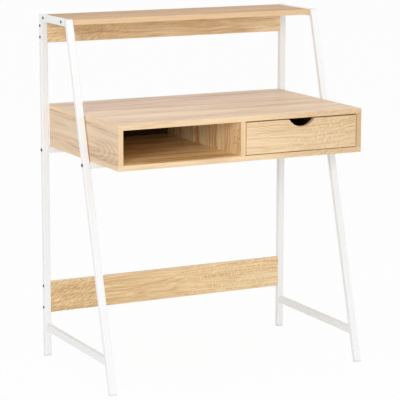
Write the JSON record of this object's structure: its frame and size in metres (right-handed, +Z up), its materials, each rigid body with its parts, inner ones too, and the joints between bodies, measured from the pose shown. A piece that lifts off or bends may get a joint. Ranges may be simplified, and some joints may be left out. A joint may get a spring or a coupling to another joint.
{
  "type": "ladder desk",
  "caption": "Ladder desk with raked white tube side frames, an oak-look body with an open bay and a sliding drawer, a raised top shelf and a low back rail.",
  "frame": {"origin": "on the floor, under the middle of the box round the whole desk", "axes": "+Z up, +X to the right seen from the front, +Y from the front of the desk to its back"},
  "size_m": [0.806, 0.495, 1.005],
  "materials": {
    "white_steel": "white powder coat, fine satin texture",
    "oak_board": "light oak decor on particle board, satin",
    "drawer_board": "light oak decor on thin board, satin",
    "hardboard": "dark brown hardboard, matt",
    "dark_steel": "darkened zinc, satin",
    "zinc_steel": "bright zinc",
    "white_plastic": "moulded, fine grain",
    "nylon": "smooth nylon",
    "runner_steel": "white epoxy coat",
    "dowel_beech": "raw beech"
  },
  "bodies": {
    "desk": {"back_panel": "hardboard", "bar_end_plates": "white_steel", "body_screws": "dark_steel", "bottom_panel": "oak_board", "cabinet_runner_screws": "zinc_steel", "cam_bolts": "zinc_steel", "cam_locks": "zinc_steel", "carcass_screws": "zinc_steel", "cross_bar_bolts": "dark_steel", "desktop": "oak_board", "divider": "oak_board", "front_cross_bar": "white_steel", "front_roller_pins": "zinc_steel", "left_cabinet_runner": "runner_steel", "left_front_foot": "white_plastic", "left_front_leg": "white_steel", "left_rear_foot": "white_plastic", "left_rear_leg": "white_steel", "left_side_panel": "oak_board", "left_stretcher": "white_steel", "left_top_bar": "white_steel", "leg_top_caps": "white_plastic", "lower_back_rail": "oak_board", "lower_rail_screws": "dark_steel", "panel_dowels": "dowel_beech", "rear_bar_tabs": "white_steel", "rear_cross_bar": "white_steel", "right_cabinet_runner": "runner_steel", "right_front_foot": "white_plastic", "right_front_leg": "white_steel", "right_rear_foot": "white_plastic", "right_rear_leg": "white_steel", "right_side_panel": "oak_board", "right_stretcher": "white_steel", "right_top_bar": "white_steel", "shelf_screws": "dark_steel", "top_shelf": "oak_board", "upper_back_rail": "oak_board", "upper_rail_screws": "dark_steel"},
    "drawer": {"drawer_front": "oak_board", "drawer_left_side": "drawer_board", "drawer_right_side": "drawer_board", "drawer_back": "drawer_board", "drawer_bottom": "hardboard", "drawer_cam_locks": "zinc_steel", "drawer_cam_bolts": "zinc_steel", "drawer_back_screws": "zinc_steel", "left_drawer_runner": "runner_steel", "right_drawer_runner": "runner_steel", "drawer_runner_screws": "zinc_steel", "rear_roller_pins": "zinc_steel"},
    "left_front_wheel": {"left_front_roller": "nylon"},
    "left_rear_wheel": {"left_rear_roller": "nylon"},
    "right_front_wheel": {"right_front_roller": "nylon"},
    "right_rear_wheel": {"right_rear_roller": "nylon"}
  },
  "joints": [
    {"name": "drawer_slide", "type": "slide", "parent": "desk", "child": "drawer", "axis": [0, -1, 0], "range_m": [0, 0.26]},
    {"name": "left_front_roller_spin", "type": "hinge", "parent": "desk", "child": "left_front_wheel", "pos_m": [0.0162, -0.2155, 0.6534], "axis": [1, 0, 0], "range_deg": [0, 1700]},
    {"name": "left_rear_roller_spin", "type": "hinge", "parent": "drawer", "child": "left_rear_wheel", "pos_m": [0.0113, 0.1435, 0.6534], "axis": [1, 0, 0], "range_deg": [0, 1700]},
    {"name": "right_front_roller_spin", "type": "hinge", "parent": "desk", "child": "right_front_wheel", "pos_m": [0.3543, -0.2155, 0.6534], "axis": [1, 0, 0], "range_deg": [0, 1700]},
    {"name": "right_rear_roller_spin", "type": "hinge", "parent": "drawer", "child": "right_rear_wheel", "pos_m": [0.3592, 0.1435, 0.6534], "axis": [1, 0, 0], "range_deg": [0, 1700]}
  ],
  "couplings": [
    {"joint": "left_front_roller_spin", "follows": "drawer_slide", "rad_per_m": 111.11},
    {"joint": "left_rear_roller_spin", "follows": "drawer_slide", "rad_per_m": 111.11},
    {"joint": "right_front_roller_spin", "follows": "drawer_slide", "rad_per_m": 111.11},
    {"joint": "right_rear_roller_spin", "follows": "drawer_slide", "rad_per_m": 111.11}
  ]
}
